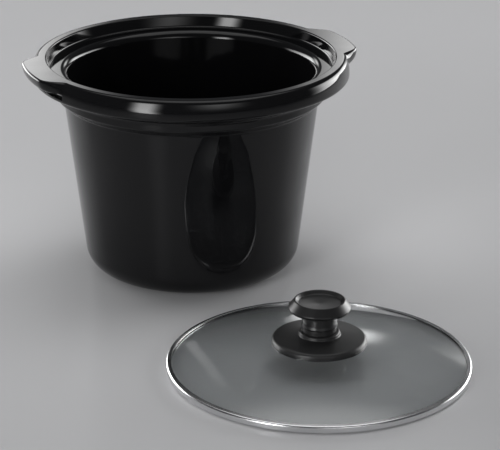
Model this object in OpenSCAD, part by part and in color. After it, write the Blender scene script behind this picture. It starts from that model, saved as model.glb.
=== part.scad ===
// Round stoneware slow cooker pot with a domed glass lid.
// The pot stands on its foot, centred on the origin, with its two lugs along X.
// The lid lies flat on the same surface, in front of the pot. Millimetres, +Z up.

/* [Pot] */
// Height of the pot from its foot to the top of its rim
pot_height = 177; // [150:1:200]
// Outside radius of the body where its straight side ends, under the collar
body_top_radius = 102; // [98:0.2:104]
// Outside radius that the straight side would reach at the floor
body_base_radius = 84.9; // [78:0.1:92]
// Thickness of the side wall, measured along a radius
wall = 6.6; // [5:0.1:8]
// Thickness of the pot's floor
floor_thickness = 8; // [6:0.5:11]
// Outside rounding between the side and the floor
heel_round = 19; // [12:0.5:24]
// Inside rounding between the side and the floor
bowl_round = 16; // [8:0.5:24]
// How far the flat foot is set in from the start of the heel rounding
foot_inset = 3; // [1:0.5:10]
// Height of the unglazed foot
foot_height = 1.2; // [0.8:0.1:2.5]

/* [Rim] */
// Width of the rim, from the mouth of the lid's seat out to the band's outside
rim_width = 11.2; // [8:0.2:16]
// Height of the rim band
rim_height = 15.5; // [13.5:0.5:19]
// Rounding of the band's upper outer edge
rim_top_round = 4; // [3:0.25:5]
// How far the band leans in towards its top
band_lean = 2.4; // [0.5:0.1:3]
// Depth, below the top of the rim, from which the band leans in
lean_depth = 9; // [8:0.5:10.5]
// Rounding where the band starts to lean
lean_round = 30; // [5:1:34]
// Rounding of the band's lower outer edge
rim_bottom_round = 3; // [1:0.2:4]
// How far the underside of the band rises from the collar to its outer edge
underside_rise = 7; // [4:0.5:9]
// Rounding in the corner between the underside of the band and the collar
underside_round = 4; // [1:0.5:5]
// Outside radius of the collar that centres the pot in a heater
collar_radius = 108.4; // [106:0.2:112]
// Height of the collar
collar_height = 7; // [6.5:0.5:10]
// Height of the slope from the collar in to the body
neck_height = 5.5; // [4:0.5:8]
// Rounding of the collar's edge and of the slope below it
collar_round = 2.2; // [1:0.2:2.6]

/* [Lid seat] */
// Radius of the seat's wall at the ledge that carries the lid
seat_radius = 113.2; // [110:0.2:115]
// Depth of the ledge below the top of the rim
seat_depth = 9; // [7:0.25:10]
// How much wider the seat is at the top of the rim than at the ledge
seat_draft = 2.0; // [0.5:0.1:2.5]
// Rounding in the corner between the seat's wall and the ledge
seat_corner_round = 1.8; // [0.4:0.1:2]
// Rounding of the lip where the seat meets the top of the rim
lip_round = 1.2; // [0.4:0.1:1.5]
// Rounding of the ledge's inner edge, over which food is poured
ledge_round = 6.5; // [2:0.5:7]

/* [Lugs] */
// How far each lug stands out past the rim band
lug_reach = 8.4; // [5:0.2:12]
// Length of the lug, along the rim, that has its full reach
lug_length = 46; // [30:1:56]
// Length, along the rim, over which each end of the lug fades into the band
lug_blend = 24; // [18:0.5:34]
// Thickness of the lug
lug_thickness = 9; // [7:0.25:10]
// Rounding of the lug's upper outer edge
lug_top_round = 1.8; // [1:0.1:4]
// How far the round underside of the lug's nose reaches back from its outer edge
lug_nose = 4; // [2:0.1:5]
// Length of the finger slot under the lug, along the rim
slot_length = 86; // [60:1:100]
// Depth of the finger slot, in from the band's outside
slot_depth = 5; // [3:0.1:6]
// Height of the finger slot inside
slot_height = 4.8; // [4.4:0.1:5.4]
// Height of the band's lip that is left below the finger slot
slot_lip = 2.3; // [1.5:0.1:2.5]
// Rounding of the finger slot's inner corners
slot_round = 1.6; // [0.5:0.1:2]

/* [Lid] */
// Place of the lid's axis to the right of the pot's axis
lid_x = 18.3; // [-30:0.1:60]
// Place of the lid's axis in front of the pot's axis
lid_y = -229.4; // [-300:0.1:-222]
// Radial clearance between the lid and the seat's wall at the ledge
lid_clearance = 0.8; // [0.5:0.1:2]
// Thickness of the glass
glass_thickness = 4; // [3.5:0.25:5]
// Height of the dome's crown above the top edge of the glass
dome_rise = 16.2; // [12:0.2:24]
// Radius of the hole at the dome's crown
glass_hole_radius = 5.5; // [5.2:0.1:6.5]
// Thickness of the steel strip that is rolled round the glass
band_thickness = 0.8; // [0.6:0.1:1]
// Width of the band's lip over the glass
band_top_lip = 3.6; // [2.5:0.1:5]
// Width of the band's lip under the glass
band_bottom_lip = 4.4; // [3:0.1:6]
// Rounding of the band's upper and lower outer edges
band_round = 1.7; // [0.8:0.1:2]
// Gap between the edge of the glass and the inside of the band
band_gap = 0.3; // [0.1:0.1:0.6]

/* [Knob] */
// Radius of the knob's head where it is widest
head_radius = 23.2; // [20:0.1:28]
// Radius of the ridge round the dished top
ridge_radius = 18.2; // [16:0.1:19]
// Height of the conical side, from the widest line up to the ridge
cone_height = 6.2; // [4:0.1:9]
// Depth of the dished top at its edge
dish_depth = 2.8; // [1.5:0.1:3.5]
// How much deeper the dish is at its centre
dish_hollow = 1.2; // [0:0.1:1.6]
// Width of the sloping wall between the ridge and the dish
dish_wall = 2.8; // [1:0.1:3.5]
// Thickness of the head's edge below the widest line
edge_thickness = 2; // [1:0.1:2.5]
// Height of the head's underside, from the stem's fillet to the edge
head_flare = 3.2; // [2:0.2:6]
// Radius of the knob's stem
stem_radius = 12.9; // [11.5:0.1:14]
// Length of the stem below the head
stem_length = 9.8; // [7:0.2:16]
// How far the foot of the stem swells past the stem
foot_bead = 0.6; // [0.2:0.1:1]
// Height of the swelling at the foot of the stem
bead_height = 3; // [2:0.2:4]

/* [Knob flange] */
// Outside radius of the flange that lies on the glass
flange_radius = 35; // [30:0.2:42]
// Height of the flange's edge
flange_edge = 4.8; // [4:0.1:6]
// Rounding of the flange's upper edge
flange_round = 3; // [1.5:0.1:3.4]
// How much the flange's top rises from its edge to its collar
flange_crown = 2.2; // [0.3:0.1:3]
// Wall of the hollow flange
flange_wall = 2.4; // [1.8:0.1:2.8]
// Outside radius of the raised collar round the flange's neck
flange_collar_radius = 15.2; // [14.6:0.1:17]
// Height of the raised collar
flange_collar_height = 2.9; // [2.5:0.1:5]
// Length of the neck that shows between the collar and the stem
neck_length = 3.6; // [1.5:0.1:6]
// How far the neck is set in from the surface of the stem
neck_inset = 0.35; // [0.1:0.05:0.8]
// Radius of the spigot that centres the knob on the flange
spigot_radius = 8; // [6.5:0.1:9]
// Length of the spigot
spigot_length = 4; // [2.5:0.1:5]
// Gap between the flange's edge and the glass
flange_gap = 0.15; // [0.05:0.05:0.3]

/* [Fixings] */
// Radius of the screw's shank
screw_radius = 2.5; // [2:0.1:3]
// Radius of the screw's pan head
screw_head_radius = 4.8; // [4.4:0.1:5.4]
// Height of the screw's pan head
screw_head_height = 3.2; // [2.6:0.1:4]
// How far the screw stops short of the end of the insert
screw_end_gap = 1.5; // [0.5:0.1:3]
// Radial clearance of the screw in the flange, the washers and the grommet
screw_clearance = 0.3; // [0.2:0.05:0.5]
// Radial clearance between the screw's thread and the insert's
thread_clearance = 0.03; // [0.02:0.01:0.06]
// Outside radius of the brass insert in the knob
insert_radius = 4; // [3.8:0.1:5]
// Length of the brass insert
insert_length = 10; // [8:0.5:11]
// Depth of the grooves that key the insert into the knob
insert_groove = 0.4; // [0.2:0.1:0.5]
// Thickness of the gasket between the glass and the flange
gasket_thickness = 1.2; // [0.8:0.1:2]
// Outside radius of the gasket and of the boss that presses on it
gasket_radius = 12; // [10.5:0.1:13]
// Thickness of the grommet's flange under the glass
grommet_thickness = 1.5; // [1:0.1:2.5]
// Outside radius of the grommet's flange
grommet_radius = 10.5; // [8:0.1:12]
// Radial clearance of the grommet's sleeve in the glass
sleeve_clearance = 0.2; // [0.1:0.05:0.4]
// How far the grommet's sleeve stops short of the top of the glass
sleeve_inset = 0.4; // [0.2:0.1:1]
// Outside radius of the steel washer
washer_radius = 9.5; // [7.5:0.1:11]
// Thickness of the steel washer
washer_thickness = 1.2; // [0.8:0.1:2]
// Radial width of the split spring washer
spring_width = 1.7; // [1.2:0.1:2]
// Thickness of the split spring washer
spring_thickness = 1.2; // [0.8:0.1:1.6]
// Angle of the slit in the spring washer
spring_slit = 14; // [6:1:24]

/* [Hidden] */
$fn = 180;
// Largest angle that one straight step of a rounded corner turns through
arc_step = 7;
// Overlap where one solid cuts another, or is sunk in it
overlap = 1;

// Steps round each half of the lug's nose, and stations along the lug
nose_steps = 7;
lug_stations = 36;

// Outside radius of the rim band
rim_radius = seat_radius + seat_draft + rim_width;

// Heights on the pot
rim_bottom = pot_height - rim_height;
collar_top = rim_bottom - underside_rise;
collar_bottom = collar_top - collar_height;
body_top = collar_bottom - neck_height;
ledge_top = pot_height - seat_depth;

// Outside radius of the straight side at a height
function body_radius(z) =
    body_base_radius + (body_top_radius - body_base_radius) * z / body_top;

// Inside radius of the bowl at a height
function bowl_radius(z) = body_radius(z) - wall;

// The foot starts inside the heel rounding
heel_angle = atan2(body_top, body_top_radius - body_base_radius);
foot_radius = body_radius(foot_height) - heel_round / tan(90 - heel_angle / 2) - foot_inset;

// The lug starts in the middle of the rim's flat top; its faded ends lie just inside the band
lug_root = (rim_radius - band_lean - rim_top_round + seat_radius + seat_draft) / 2;
lug_sink = 0.6;

// Sizes of the lid, from the seat that it fits
lid_radius = seat_radius - lid_clearance;
pocket_radius = lid_radius - band_thickness;
glass_radius = pocket_radius - band_gap;
glass_edge_top = band_thickness + glass_thickness;
crown = glass_edge_top + dome_rise;
dome_radius = (glass_radius * glass_radius + dome_rise * dome_rise) / (2 * dome_rise);

// Height of the top of the glass at a radius
function glass_top(r) = crown - dome_radius + sqrt(dome_radius * dome_radius - r * r);

// Heights of the flange and the knob on the lid
boss_bottom = crown + gasket_thickness;
flange_top = glass_top(flange_radius) + flange_edge;
flange_shoulder = flange_top + flange_crown;
flange_collar_top = flange_shoulder + flange_collar_height;
stem_bottom = flange_collar_top + neck_length;
spigot_top = stem_bottom + spigot_length;
head_bottom = stem_bottom + stem_length;
edge_bottom = head_bottom + head_flare;
widest = edge_bottom + edge_thickness;
ridge_top = widest + cone_height;
neck_radius = stem_radius - neck_inset;

// Heights of the fixings, hung from the underside of the glass
grommet_bottom = crown - glass_thickness - grommet_thickness;
washer_bottom = grommet_bottom - washer_thickness;
spring_bottom = washer_bottom - spring_thickness;
screw_hole = screw_radius + screw_clearance;
insert_end = spigot_top + insert_length;

// One direction vector
function unit(v) = v / norm(v);

// Points of the arc that rounds the corner at b, between a and c
function corner(a, b, c, radius) =
    let (to_a = unit(a - b), to_c = unit(c - b),
         half = acos(to_a * to_c) / 2,
         centre = b + unit(to_a + to_c) * radius / sin(half),
         start = b + to_a * radius / tan(half) - centre,
         turn = sign(to_a[0] * to_c[1] - to_a[1] * to_c[0]) * (half * 2 - 180),
         steps = max(1, ceil(abs(turn) / arc_step)))
    [for (i = [0 : steps])
        let (angle = turn * i / steps)
        centre + [start[0] * cos(angle) - start[1] * sin(angle),
                  start[0] * sin(angle) + start[1] * cos(angle)]];

// Outline through corners given as [x, y, rounding]
function rounded(corners) =
    let (count = len(corners), xy = [for (c = corners) [c[0], c[1]]])
    [for (i = [0 : count - 1])
        let (a = xy[(i + count - 1) % count], b = xy[i], c = xy[(i + 1) % count])
        for (p = corners[i][2] > 0 ? corner(a, b, c, corners[i][2]) : [b]) p];

// Everything on the lid is drawn on its own axis and set down in front of the pot
module at_lid() {
    translate([lid_x, lid_y, 0]) children();
}

// Solid of revolution from corners given as [radius, height, rounding]
module turned(corners) {
    rotate_extrude() polygon(rounded(corners));
}

// Flat ring of one height
module ring(outer, inner, bottom, height) {
    translate([0, 0, bottom]) difference() {
        cylinder(r = outer, h = height);
        translate([0, 0, -overlap]) cylinder(r = inner, h = height + 2 * overlap);
    }
}

// Section of the ball whose surface is the top of the glass, grown by a gap
module dome_section(grow = 0) {
    translate([0, crown - dome_radius]) circle(r = dome_radius + grow, $fn = 1440);
}

// Pot: body, rim band, seat for the lid and bowl in one turned outline
module pot_body() {
    turned([[0, 0, 0],
            [foot_radius, 0, 0],
            [foot_radius, foot_height, 0],
            [body_radius(foot_height), foot_height, heel_round],
            [body_top_radius, body_top, collar_round],
            [collar_radius, collar_bottom, collar_round],
            [collar_radius, collar_top, underside_round],
            [rim_radius, rim_bottom, rim_bottom_round],
            [rim_radius, pot_height - lean_depth, lean_round],
            [rim_radius - band_lean, pot_height, rim_top_round],
            [seat_radius + seat_draft, pot_height, lip_round],
            [seat_radius, ledge_top, seat_corner_round],
            [bowl_radius(ledge_top), ledge_top, ledge_round],
            [bowl_radius(floor_thickness), floor_thickness, bowl_round],
            [0, floor_thickness, 0]]);
}

// Radius of the rim band's outside at a height, over its lean and its upper rounding
function band_radius(z) =
    let (lean = band_lean * max(0, z - pot_height + lean_depth) / lean_depth,
         up = max(0, z - pot_height + rim_top_round))
    rim_radius - lean - rim_top_round + sqrt(max(0, rim_top_round * rim_top_round - up * up));

// Share of its full reach that the lug has, this far along the rim from its middle
function lug_share(along) =
    let (past = (abs(along) - lug_length / 2) / lug_blend)
    past <= 0 ? 1 : past >= 1 ? 0 : (1 + cos(180 * past)) / 2;

// Outer edge of the lug, as [radius, height] at a turn down from straight up
function nose_point(turn) =
    let (back = turn < 90 ? lug_top_round : lug_nose,
         high = turn < 90 ? lug_top_round : lug_thickness - lug_top_round)
    [rim_radius + lug_reach - back * (1 - sin(turn)),
     pot_height - lug_top_round + high * cos(turn)];

// Section of the lug, from its buried top edge round its nose to its buried lower edge
function lug_section(share) = concat(
    [[lug_root, pot_height]],
    [for (i = [0 : 2 * nose_steps])
        let (nose = nose_point(90 * i / nose_steps),
             skin = band_radius(nose[1]) - lug_sink)
        [skin + share * (nose[0] - skin), nose[1]]],
    [[lug_root, pot_height - lug_thickness]]);

// Lug: its section, carried round the rim and fading into the band at both ends
module lug() {
    half = lug_length / 2 + lug_blend;
    sides = 2 * nose_steps + 3;
    points = [for (k = [0 : lug_stations])
        let (along = half * (2 * k / lug_stations - 1),
             angle = along / rim_radius * 180 / PI)
        for (p = lug_section(lug_share(along))) [p[0] * cos(angle), p[0] * sin(angle), p[1]]];
    skin = [for (k = [0 : lug_stations - 1]) for (i = [0 : sides - 1])
        let (a = k * sides + i,
             b = k * sides + (i + 1) % sides)
        for (face = [[a, b + sides, b], [a, a + sides, b + sides]]) face];
    near_end = [for (i = [0 : sides - 1]) i];
    far_end = [for (i = [sides - 1 : -1 : 0]) lug_stations * sides + i];
    polyhedron(points = points, faces = concat(skin, [near_end, far_end]));
}

// Finger slot: cut into the band under the lug, with the band's lip left below it
module finger_slot() {
    inner = rim_radius - slot_depth;
    outer = rim_radius + lug_reach - lug_nose - lug_top_round;
    bottom = rim_bottom + slot_lip;
    turn = slot_length / rim_radius * 180 / PI;
    rotate([0, 0, -turn / 2]) rotate_extrude(angle = turn)
        polygon(rounded([[inner, bottom, slot_round],
                         [outer, bottom, 0],
                         [outer, bottom + slot_height, 0],
                         [inner, bottom + slot_height, slot_round]]));
}

// Pot: the turned body is given a quarter turn, so that no edge of it runs along a lug
module stoneware_pot() {
    color([0.04, 0.04, 0.045]) difference() {
        union() {
            rotate([0, 0, 90]) pot_body();
            for (side = [0, 180]) rotate([0, 0, side]) lug();
        }
        for (side = [0, 180]) rotate([0, 0, side]) finger_slot();
    }
}

// Glass: a shell between two concentric balls, cut to its edge and its hole
module lid_glass() {
    color([0.35, 0.37, 0.38, 0.4]) at_lid() rotate_extrude() difference() {
        intersection() {
            dome_section();
            translate([glass_hole_radius, 0])
                square([glass_radius - glass_hole_radius, crown + overlap]);
        }
        translate([0, -glass_thickness]) dome_section();
    }
}

// Band: steel strip rolled over, round and under the edge of the glass
module lid_band() {
    top_lip = lid_radius - band_top_lip;
    bottom_lip = lid_radius - band_bottom_lip;
    color([0.8, 0.8, 0.8]) at_lid() rotate_extrude() difference() {
        polygon(rounded([[bottom_lip, 0, 0],
                         [lid_radius, 0, band_round],
                         [lid_radius, glass_edge_top + band_thickness, band_round],
                         [top_lip, glass_top(top_lip) + band_thickness, 0]]));
        polygon([[bottom_lip - overlap, band_thickness],
                 [pocket_radius, band_thickness],
                 [pocket_radius, glass_top(pocket_radius)],
                 [top_lip, glass_top(top_lip)],
                 [bottom_lip - overlap, glass_top(top_lip)]]);
    }
}

// Knob: dished head on a stem, with a socket for the spigot and a hole for the insert
module lid_knob() {
    dish_radius = ridge_radius - dish_wall;
    dish_edge = ridge_top - dish_depth;
    bead_middle = stem_bottom + bead_height / 3;
    edge_radius = head_radius - edge_thickness / 2;
    bead_round = 0.8;
    waist_round = 1.5;
    head_fillet = 2;
    edge_round = 1;
    ridge_round = 0.9;
    dish_round = 1.2;
    color([0.08, 0.08, 0.08]) at_lid() difference() {
        turned([[0, stem_bottom, 0],
                [neck_radius, stem_bottom, 0],
                [stem_radius + foot_bead, bead_middle, bead_round],
                [stem_radius, stem_bottom + bead_height, waist_round],
                [stem_radius, head_bottom, head_fillet],
                [edge_radius, edge_bottom, edge_round],
                [head_radius, widest, edge_round],
                [ridge_radius, ridge_top, ridge_round],
                [dish_radius, dish_edge, dish_round],
                [0, dish_edge - dish_hollow, 0]]);
        translate([0, 0, stem_bottom - overlap])
            cylinder(r = spigot_radius + flange_gap, h = spigot_length + overlap);
        translate([0, 0, spigot_top - overlap])
            cylinder(r = insert_radius, h = insert_length + overlap);
    }
}

// Flange: hollow disc on the glass, with a collar, a neck and a spigot for the knob
module knob_flange() {
    collar_gap = 0.5;
    collar_edge = 1.5;
    collar_fillet = 1.3;
    inner_edge = 0.3;
    spigot_edge = 0.4;
    color([0.09, 0.09, 0.09]) at_lid() difference() {
        rotate_extrude() difference() {
            polygon(rounded([[0, 0, 0],
                             [flange_radius, 0, 0],
                             [flange_radius, flange_top, flange_round],
                             [flange_collar_radius, flange_shoulder, collar_fillet],
                             [flange_collar_radius, flange_collar_top, collar_edge],
                             [neck_radius + collar_gap, flange_collar_top, inner_edge],
                             [neck_radius + collar_gap, flange_collar_top - collar_gap, 0],
                             [neck_radius, flange_collar_top - collar_gap, 0],
                             [neck_radius, stem_bottom, 0],
                             [spigot_radius, stem_bottom, 0],
                             [spigot_radius, spigot_top, spigot_edge],
                             [0, spigot_top, 0]]));
            dome_section(flange_gap);
        }
        rotate_extrude() polygon([[gasket_radius, 0],
                                  [flange_radius - flange_wall, 0],
                                  [flange_radius - flange_wall, flange_top - flange_wall],
                                  [gasket_radius, flange_shoulder - flange_wall]]);
        cylinder(r = gasket_radius, h = boss_bottom);
        cylinder(r = screw_hole, h = spigot_top + overlap);
    }
}

// Insert: threaded brass bush, grooved so that the knob grips it
module knob_insert() {
    land = insert_length / 5;
    groove_floor = insert_radius - insert_groove;
    color([0.8, 0.62, 0.3]) at_lid() translate([0, 0, spigot_top]) difference() {
        cylinder(r = insert_radius, h = insert_length);
        for (i = [1, 3])
            ring(insert_radius + overlap, groove_floor, i * land, land);
        translate([0, 0, -overlap])
            cylinder(r = screw_radius + thread_clearance, h = insert_length + 2 * overlap);
    }
}

// Gasket: silicone washer, pressed to the slope of the glass
module flange_gasket() {
    color([0.75, 0.75, 0.73]) at_lid() rotate_extrude()
        polygon([[glass_hole_radius, glass_top(glass_hole_radius)],
                 [gasket_radius, glass_top(gasket_radius)],
                 [gasket_radius, boss_bottom],
                 [glass_hole_radius, boss_bottom]]);
}

// Grommet: silicone sleeve in the hole of the glass, with a flange pressed up under it
module hole_grommet() {
    sleeve_radius = glass_hole_radius - sleeve_clearance;
    color([0.75, 0.75, 0.73]) at_lid() rotate_extrude()
        polygon([[screw_hole, grommet_bottom],
                 [grommet_radius, grommet_bottom],
                 [grommet_radius, glass_top(grommet_radius) - glass_thickness],
                 [sleeve_radius, glass_top(sleeve_radius) - glass_thickness],
                 [sleeve_radius, crown - sleeve_inset],
                 [screw_hole, crown - sleeve_inset]]);
}

// Washer: steel, spreads the screw's pull over the grommet
module clamp_washer() {
    color([0.7, 0.7, 0.7]) at_lid()
        ring(washer_radius, screw_hole, washer_bottom, washer_thickness);
}

// Spring washer: a split ring, shown pressed flat
module spring_washer() {
    color([0.6, 0.6, 0.6]) at_lid() translate([0, 0, spring_bottom])
        rotate_extrude(angle = 360 - spring_slit)
            translate([screw_hole, 0]) square([spring_width, spring_thickness]);
}

// Screw: pan head with a cross recess, under the washers, up through the lid
module knob_screw() {
    slot_width = screw_radius / 3;
    slot_length = screw_head_radius * 1.1;
    slot_depth = screw_head_height / 2;
    head_round = screw_head_height / 2;
    screw_length = insert_end - screw_end_gap - spring_bottom + screw_head_height;
    end_round = 0.5;
    color([0.72, 0.72, 0.74]) at_lid() translate([0, 0, spring_bottom - screw_head_height])
        difference() {
            turned([[0, 0, 0],
                    [screw_head_radius, 0, head_round],
                    [screw_head_radius, screw_head_height, 0],
                    [screw_radius, screw_head_height, 0],
                    [screw_radius, screw_length, end_round],
                    [0, screw_length, 0]]);
            for (turn = [0, 90]) rotate([0, 0, turn])
                translate([-slot_length / 2, -slot_width / 2, -overlap])
                    cube([slot_length, slot_width, slot_depth + overlap]);
        }
}

stoneware_pot();
lid_glass();
lid_band();
lid_knob();
knob_flange();
knob_insert();
flange_gasket();
hole_grommet();
clamp_washer();
spring_washer();
knob_screw();
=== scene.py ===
"""Looks for a stoneware slow cooker pot with a domed glass lid lying in front of it. Metres, +Z up."""

from math import cos, pi, radians, sin, tan

import bmesh
import bpy
from mathutils import Matrix, Vector


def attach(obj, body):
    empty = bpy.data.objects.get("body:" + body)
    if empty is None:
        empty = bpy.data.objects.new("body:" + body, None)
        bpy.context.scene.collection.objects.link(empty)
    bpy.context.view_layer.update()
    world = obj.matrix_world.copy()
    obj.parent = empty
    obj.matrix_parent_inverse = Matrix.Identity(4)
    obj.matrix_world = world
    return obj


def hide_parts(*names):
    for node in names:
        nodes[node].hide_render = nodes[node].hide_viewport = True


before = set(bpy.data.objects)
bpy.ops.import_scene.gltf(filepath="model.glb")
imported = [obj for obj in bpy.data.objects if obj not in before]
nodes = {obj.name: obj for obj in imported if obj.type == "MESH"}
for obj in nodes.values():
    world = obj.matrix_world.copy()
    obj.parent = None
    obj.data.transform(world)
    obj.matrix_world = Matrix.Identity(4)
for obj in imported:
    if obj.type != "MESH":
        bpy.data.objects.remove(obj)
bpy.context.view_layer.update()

# Lengths in metres and angles in degrees: the lid's axis, the height of the bare clay, the floor,
# and the turn and the distance below which a skin is shaded and welded as one
LID_AXIS = (0.0183, -0.2294)
BARE_FOOT = 0.0013
FLOOR_WIDTH = 12
CREASE = 30
WELD = 0.00001

# The camera: its place, how far it is turned and raised, its roll and its lens
CAMERA_PLACE = (-0.5450, -1.5760, 0.6699)
VIEW_TURN = 20.7
VIEW_RISE = 69.05
VIEW_ROLL = 0.18
SENSOR_WIDTH = 36
LENS = 156.67
CLIP_START = 0.05

# The lamps: the height that they circle, the height that they face, a standing lamp's gap and half spread
LAMP_CIRCLE = 0.15
LAMP_TARGET = 0.12
STANDING_GAP = 0.02
STANDING_SPREAD = 48

SKY_COLOUR = (0.5, 0.51, 0.53, 1)
SKY_STRENGTH = 0.15


# ---------------------------------------------------------------- materials

class Paint:
    """A node material, with short calls for the nodes that these surfaces need."""

    def __init__(self, name, **values):
        self.material = bpy.data.materials.new(name)
        self.material.use_nodes = True
        self.tree = self.material.node_tree
        self.shader = self.tree.nodes["Principled BSDF"]
        for key, value in values.items():
            self.shader.inputs[key.replace("_", " ")].default_value = value

    def node(self, kind, **links):
        made = self.tree.nodes.new(kind)
        for key, value in links.items():
            self.feed(made, key.replace("_", " "), value)
        return made

    def feed(self, node, key, value):
        """Link or set the socket of this name, or of this number after an i."""
        numbered = key[0] == "i" and key[1:].isdigit()
        socket = node.inputs[int(key[1:])] if numbered else node.inputs[key]
        if isinstance(value, bpy.types.NodeSocket):
            self.tree.links.new(value, socket)
        else:
            socket.default_value = value

    def place(self, offset=(0, 0, 0)):
        """Object coordinates in metres, moved."""
        where = self.node("ShaderNodeTexCoord").outputs["Object"]
        return self.node("ShaderNodeVectorMath", i0=where, i1=offset).outputs[0]

    def noise(self, where, scale, detail, roughness=0.5):
        made = self.node(
            "ShaderNodeTexNoise", Vector=where, Scale=scale, Detail=detail, Roughness=roughness)
        return made.outputs["Fac"]

    def math(self, operation, a, b):
        made = self.node("ShaderNodeMath", i0=a, i1=b)
        made.operation = operation
        return made.outputs[0]

    def ramp(self, value, low, high, at_low, at_high):
        """value, from low to high, turned into at_low to at_high."""
        made = self.node(
            "ShaderNodeMapRange", Value=value, From_Min=low, From_Max=high, To_Min=at_low, To_Max=at_high)
        return made.outputs["Result"]

    def mix(self, share, a, b):
        made = self.tree.nodes.new("ShaderNodeMix")
        made.data_type = "RGBA"
        for key, value in (("i0", share), ("i6", a), ("i7", b)):
            self.feed(made, key, value)
        return made.outputs[2]

    def bump(self, height, distance, strength, under=None):
        made = self.node("ShaderNodeBump", Height=height, Distance=distance, Strength=strength)
        if under is not None:
            self.feed(made, "Normal", under)
        return made.outputs["Normal"]

    def link(self, **links):
        for key, value in links.items():
            self.feed(self.shader, key.replace("_", " "), value)
        return self.material


def glaze():
    """Black glaze, with bare clay where the pot stands."""
    p = Paint("black_glaze", Roughness=0.05, IOR=1.38)
    where = p.place()
    slow = p.noise(where, 9.0, 2.0)
    fine = p.noise(where, 30.0, 1.0)
    height = p.node("ShaderNodeSeparateXYZ", Vector=where).outputs["Z"]
    bare = p.math("LESS_THAN", height, BARE_FOOT)
    colour = p.mix(slow, (0.0035, 0.0035, 0.004, 1), (0.006, 0.006, 0.0065, 1))
    grain = p.noise(where, 900.0, 4.0, 0.7)
    clay = p.mix(grain, (0.16, 0.115, 0.08, 1), (0.27, 0.21, 0.155, 1))
    rough = p.ramp(slow, 0.3, 0.7, 0.035, 0.065)
    rough = p.math("MAXIMUM", rough, p.math("MULTIPLY", bare, 0.85))
    skin = p.bump(slow, 0.0004, 0.35)
    skin = p.bump(fine, 0.0003, 0.5, skin)
    skin = p.bump(p.math("MULTIPLY", grain, bare), 0.0002, 0.8, skin)
    return p.link(Base_Color=p.mix(bare, colour, clay), Roughness=rough, Normal=skin)


def clear_glass():
    p = Paint("clear_glass", Transmission_Weight=1.0, IOR=1.5, Base_Color=(0.93, 0.95, 0.95, 1))
    where = p.place()
    rough = p.ramp(p.noise(where, 14.0, 3.0), 0.45, 0.8, 0.0, 0.03)
    return p.link(Roughness=rough, Normal=p.bump(p.noise(where, 8.0, 1.0), 0.0003, 0.15))


def rolled_steel():
    """Steel with fine streaks that run round the lid."""
    p = Paint("rolled_steel", Metallic=1.0)
    where = p.place(offset=(-LID_AXIS[0], -LID_AXIS[1], 0))
    parts = p.node("ShaderNodeSeparateXYZ", Vector=where)
    flat = p.node("ShaderNodeCombineXYZ", X=parts.outputs["X"], Y=parts.outputs["Y"]).outputs[0]
    radius = p.node("ShaderNodeVectorMath", i0=flat)
    radius.operation = "LENGTH"
    across = p.node("ShaderNodeCombineXYZ", X=radius.outputs["Value"], Y=parts.outputs["Z"]).outputs[0]
    streaks = p.noise(across, 2600.0, 2.0)
    patches = p.noise(where, 30.0, 3.0)
    colour = p.mix(patches, (0.66, 0.66, 0.67, 1), (0.78, 0.78, 0.79, 1))
    rough = p.math("ADD", p.ramp(patches, 0.3, 0.7, 0.14, 0.22), p.ramp(streaks, 0.3, 0.7, 0.0, 0.06))
    return p.link(Base_Color=colour, Roughness=rough, Normal=p.bump(streaks, 0.00004, 0.3))


def satin_plastic(name, dark, light, rough):
    p = Paint(name, IOR=1.5)
    where = p.place()
    patches = p.noise(where, 45.0, 3.0)
    grain = p.noise(where, 1800.0, 3.0)
    colour = p.mix(patches, (*dark, 1), (*light, 1))
    satin = p.ramp(patches, 0.3, 0.7, rough - 0.03, rough + 0.04)
    return p.link(Base_Color=colour, Roughness=satin, Normal=p.bump(grain, 0.00004, 0.35))


def plain(name, dark, light, rough, metallic=0.0):
    p = Paint(name, Metallic=metallic)
    where = p.place()
    patches = p.noise(where, 120.0, 4.0)
    colour = p.mix(patches, (*dark, 1), (*light, 1))
    uneven = p.ramp(patches, 0.3, 0.7, rough - 0.05, rough + 0.08)
    grain = p.noise(where, 960.0, 3.0)
    return p.link(Base_Color=colour, Roughness=uneven, Normal=p.bump(grain, 0.00003, 0.4))


def floor_paint():
    p = Paint("pale_floor", Roughness=0.22, Metallic=0.06, Specular_IOR_Level=0.0)
    where = p.place()
    colour = p.mix(p.noise(where, 3.0, 2.0), (0.60, 0.60, 0.61, 1), (0.63, 0.63, 0.64, 1))
    return p.link(Base_Color=colour)


materials = {
    "stoneware_pot": glaze(),
    "lid_glass": clear_glass(),
    "lid_band": rolled_steel(),
    "lid_knob": satin_plastic("knob_black", (0.010, 0.010, 0.0105), (0.014, 0.014, 0.0145), 0.34),
    "knob_flange": satin_plastic("flange_black", (0.012, 0.012, 0.0125), (0.016, 0.016, 0.0165), 0.38),
    "knob_insert": plain("brass", (0.72, 0.52, 0.22), (0.80, 0.60, 0.28), 0.3, 1.0),
    "flange_gasket": plain("silicone", (0.60, 0.60, 0.58), (0.68, 0.68, 0.66), 0.45),
    "clamp_washer": plain("washer_steel", (0.55, 0.55, 0.56), (0.66, 0.66, 0.66), 0.3, 1.0),
    "knob_screw": plain("screw_steel", (0.58, 0.58, 0.6), (0.7, 0.7, 0.71), 0.25, 1.0)}
materials["hole_grommet"] = materials["flange_gasket"]
materials["spring_washer"] = materials["clamp_washer"]

for name, node in nodes.items():
    node.data.materials.clear()
    node.data.materials.append(materials[name])


# ---------------------------------------------------------------- turned and moulded skins

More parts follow.
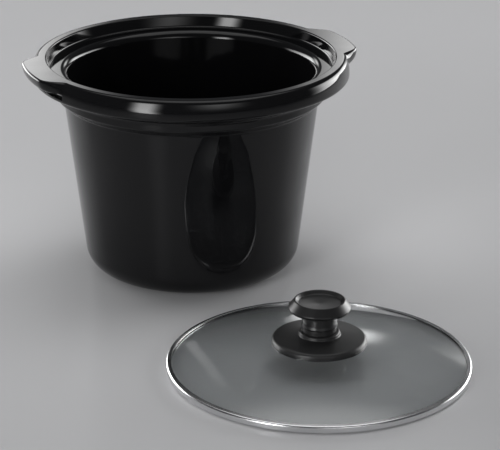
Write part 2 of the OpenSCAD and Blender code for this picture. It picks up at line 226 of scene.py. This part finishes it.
def smooth_skin(name, body):
    """Stands for a CAD node: the same surface, shaded as one skin where it turns less than the crease."""
    mesh = nodes[name].data.copy()
    work = bmesh.new()
    work.from_mesh(mesh)
    bmesh.ops.remove_doubles(work, verts=work.verts, dist=WELD)
    for face in work.faces:
        face.smooth = True
    for edge in work.edges:
        edge.smooth = edge.calc_face_angle(0) < radians(CREASE)
    if mesh.has_custom_normals:
        mesh.attributes.remove(mesh.attributes["custom_normal"])
    work.to_mesh(mesh)
    work.free()
    made = bpy.data.objects.new(name + "_skin", mesh)
    bpy.context.scene.collection.objects.link(made)
    even = made.modifiers.new("even", "WEIGHTED_NORMAL")
    even.keep_sharp = True
    even.weight = 80
    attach(made, body)
    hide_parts(name)


smooth_skin("stoneware_pot", "pot")
for name in ("lid_band", "lid_knob", "knob_flange"):
    smooth_skin(name, "lid")


# ---------------------------------------------------------------- floor, light and camera

def lay_floor(size):
    half = size / 2
    corners = [(-half, -half, 0), (half, -half, 0), (half, half, 0), (-half, half, 0)]
    mesh = bpy.data.meshes.new("floor")
    mesh.from_pydata(corners, [], [(0, 1, 2, 3)])
    mesh.materials.append(floor_paint())
    made = bpy.data.objects.new("floor", mesh)
    bpy.context.scene.collection.objects.link(made)


lay_floor(FLOOR_WIDTH)


def around(turn, lift, reach):
    """A place round the pot: turn degrees clockwise from straight behind it, as the camera sees it."""
    heading = radians(90 - VIEW_TURN - turn)
    flat = reach * cos(radians(lift))
    height = LAMP_CIRCLE + reach * sin(radians(lift))
    return Vector((flat * cos(heading), flat * sin(heading), height))


def soften(light, edge, standing):
    """Fade the lamp's glow over this share of its half width. A standing lamp doesn't fade at its foot."""
    light.use_nodes = True
    tree = light.node_tree

    def math(operation, a, b):
        step = tree.nodes.new("ShaderNodeMath")
        step.operation = operation
        for socket, value in ((step.inputs[0], a), (step.inputs[1], b)):
            if isinstance(value, bpy.types.NodeSocket):
                tree.links.new(value, socket)
            else:
                socket.default_value = value
        return step.outputs[0]

    split = tree.nodes.new("ShaderNodeSeparateXYZ")
    tree.links.new(tree.nodes.new("ShaderNodeNewGeometry").outputs["Parametric"], split.inputs[0])
    fades = []
    for axis in ("X", "Y"):
        from_middle = math("SUBTRACT", split.outputs[axis], 0.5)
        if axis == "X" or not standing:
            from_middle = math("ABSOLUTE", from_middle, 0)
        fade = tree.nodes.new("ShaderNodeMapRange")
        fade.interpolation_type = "SMOOTHSTEP"
        fade.inputs["From Min"].default_value = 0.5
        fade.inputs["From Max"].default_value = 0.5 - edge / 2
        tree.links.new(from_middle, fade.inputs["Value"])
        fades.append(fade.outputs["Result"])
    glow = math("POWER", math("MULTIPLY", *fades), 2)
    tree.links.new(glow, tree.nodes["Emission"].inputs["Strength"])


def lamp(name, size, glow, place, edge=1.0, standing=False):
    """An area lamp of this size, whose middle glows this brightly, turned to the pot.

    A standing lamp faces level and spreads less, and its power is set so that it glows as brightly ahead.
    """
    if standing:
        place.z = size[1] / 2 + STANDING_GAP
    light = bpy.data.lights.new(name, "AREA")
    light.shape = "RECTANGLE"
    light.size, light.size_y = size
    light.energy = glow * pi * size[0] * size[1]
    if standing:
        half = radians(STANDING_SPREAD)
        light.spread = 2 * half
        light.energy *= (tan(half) - half) / tan(half)
    soften(light, edge, standing)
    made = bpy.data.objects.new(name, light)
    bpy.context.scene.collection.objects.link(made)
    made.location = place
    target = Vector((0, 0, place.z if standing else LAMP_TARGET))
    made.rotation_euler = (target - place).to_track_quat("-Z", "Y").to_euler()
    made.visible_camera = False


lamp("overhead", (3.0, 2.6), 1.25, around(0, 80, 2.0), edge=0.5)
lamp("back_left", (0.55, 0.5), 3.0, around(-13, 17, 1.6), edge=0.9)
lamp("back_right", (0.5, 0.5), 2.7, around(10, 17, 1.6), edge=0.9)
lamp("left_side", (2.6, 1.0), 9.0, around(-48, 0, 1.7), edge=0.6, standing=True)
lamp("right_side", (2.7, 0.9), 10.0, around(54, 0, 1.7), edge=0.6, standing=True)
lamp("front_left", (0.8, 1.3), 13, around(-150, 0, 1.5), edge=0.85, standing=True)
lamp("front_fill", (2.2, 1.2), 2.6, around(160, 16, 1.9))

world = bpy.data.worlds.new("studio")
bpy.context.scene.world = world
world.use_nodes = True
sky = world.node_tree.nodes["Background"]
sky.inputs["Color"].default_value = SKY_COLOUR
sky.inputs["Strength"].default_value = SKY_STRENGTH

camera = bpy.data.objects.new("camera", bpy.data.cameras.new("camera"))
bpy.context.scene.collection.objects.link(camera)
camera.data.sensor_width = SENSOR_WIDTH
camera.data.lens = LENS
camera.data.clip_start = CLIP_START
turn = Matrix.Rotation(radians(-VIEW_TURN), 4, "Z") @ Matrix.Rotation(radians(VIEW_RISE), 4, "X")
roll = Matrix.Rotation(radians(VIEW_ROLL), 4, "Z")
camera.matrix_world = Matrix.Translation(CAMERA_PLACE) @ turn @ roll
bpy.context.scene.camera = camera
bpy.context.scene.view_settings.view_transform = "Standard"
